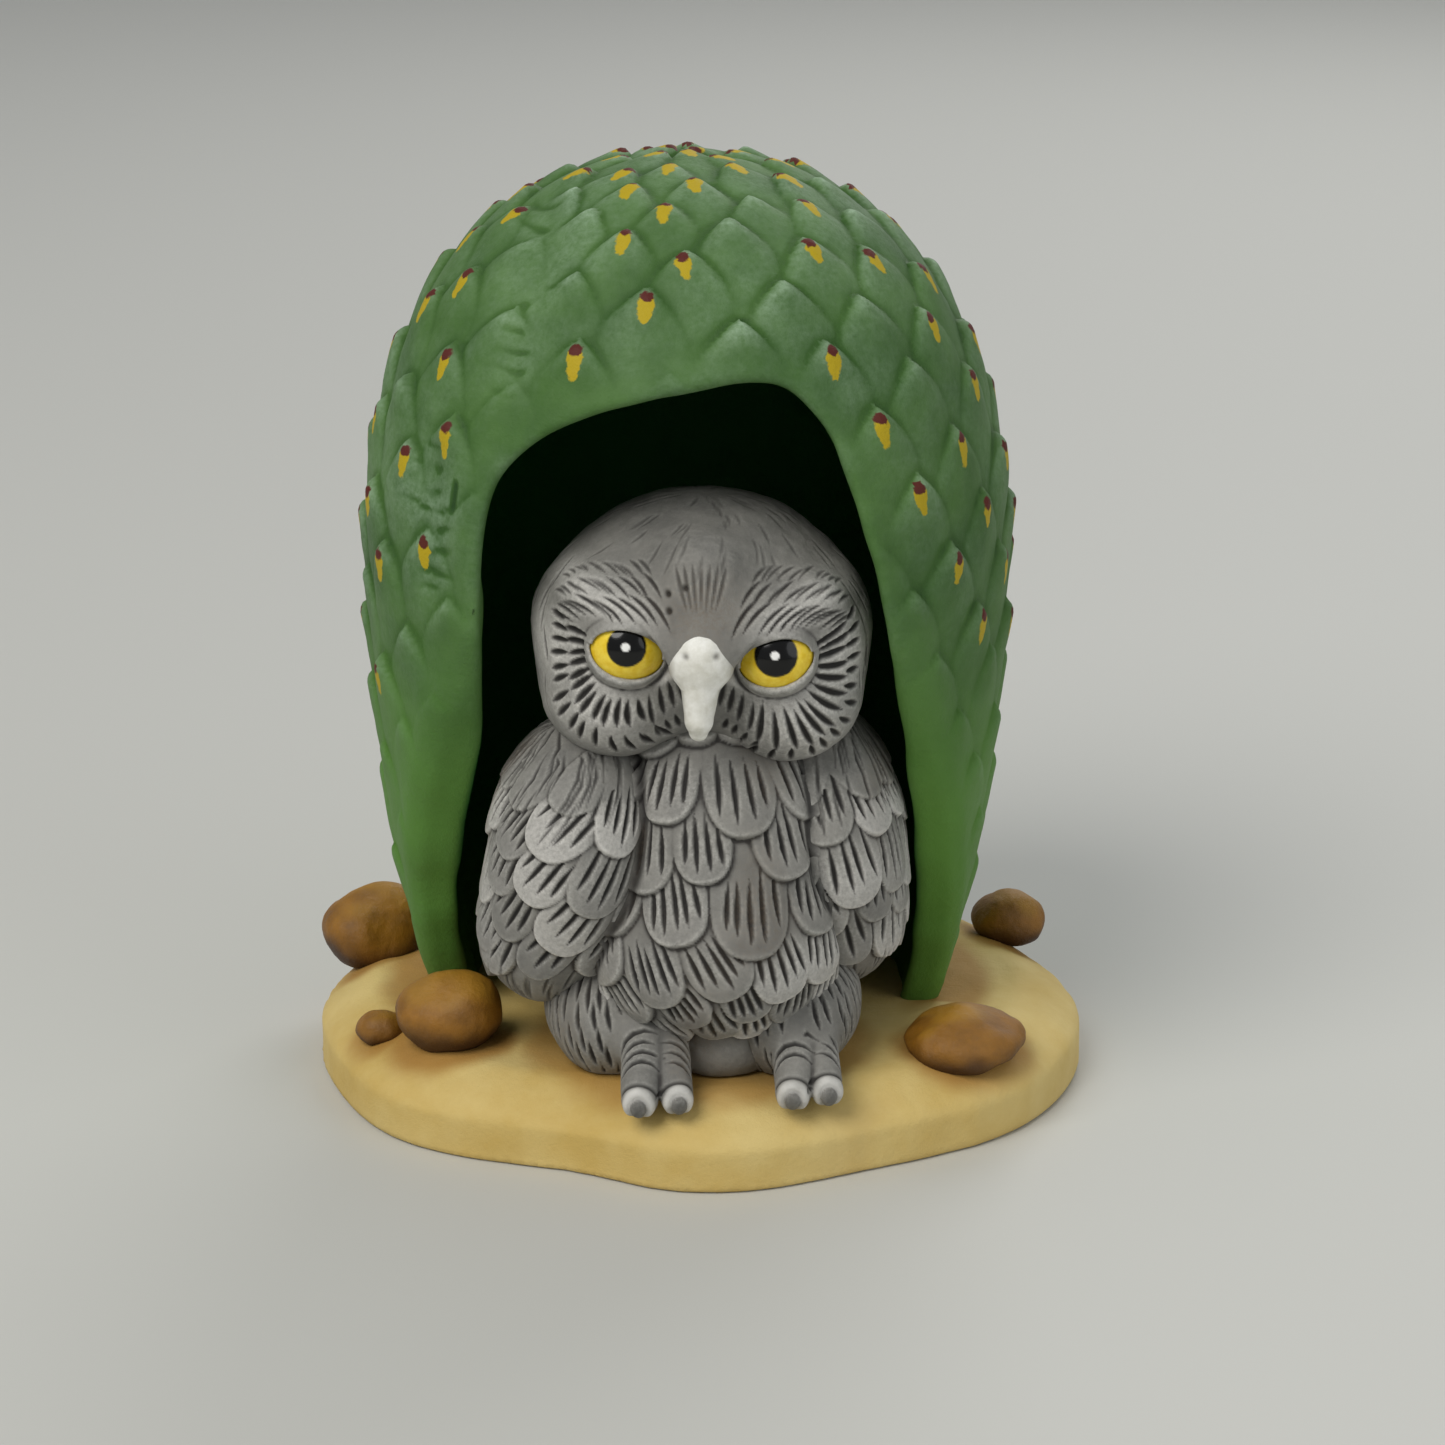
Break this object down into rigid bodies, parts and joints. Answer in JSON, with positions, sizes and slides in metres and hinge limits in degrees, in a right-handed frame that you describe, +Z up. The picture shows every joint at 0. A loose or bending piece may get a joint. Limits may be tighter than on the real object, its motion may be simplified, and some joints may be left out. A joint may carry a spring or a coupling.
{
  "type": "owl figurine",
  "caption": "Painted bisque owl standing on a sand-coloured base inside a hollow, arched cactus shell, with small applied stones round it.",
  "frame": {"origin": "centre of the figurine's footprint, on the plane it stands on", "axes": "+Z up; -Y is the front, where the owl looks; +X is to the right as seen from the front"},
  "size_m": [0.087, 0.0795, 0.1028],
  "materials": {
    "sand_bisque": "matt, airbrushed sand yellow with brown shading, bare bisque underneath",
    "cactus_bisque": "matt green with a pale drybrush on the scale tips, yellow and red-brown spine marks, dark inside",
    "owl_bisque": "matt grey-brown wash in the incised feathers with a pale drybrush on the ridges",
    "beak_bisque": "matt off-white cere and beak, slightly satin",
    "eye_gloss": "glossy yellow iris with a black pupil and a white dot",
    "stone_bisque": "matt ochre brown, darker at the edges"
  },
  "bodies": {
    "root": {"base_slab": "sand_bisque", "cactus_shell": "cactus_bisque", "owl_torso": "owl_bisque", "owl_head": "owl_bisque", "owl_wing_left": "owl_bisque", "owl_wing_right": "owl_bisque", "owl_leg_left": "owl_bisque", "owl_leg_right": "owl_bisque", "beak": "beak_bisque", "eye_left": "eye_gloss", "eye_right": "eye_gloss", "stone_front_left": "stone_bisque", "stone_front_left_small": "stone_bisque", "stone_front_right": "stone_bisque", "stone_back_left": "stone_bisque", "stone_back_right": "stone_bisque"}
  },
  "joints": []
}
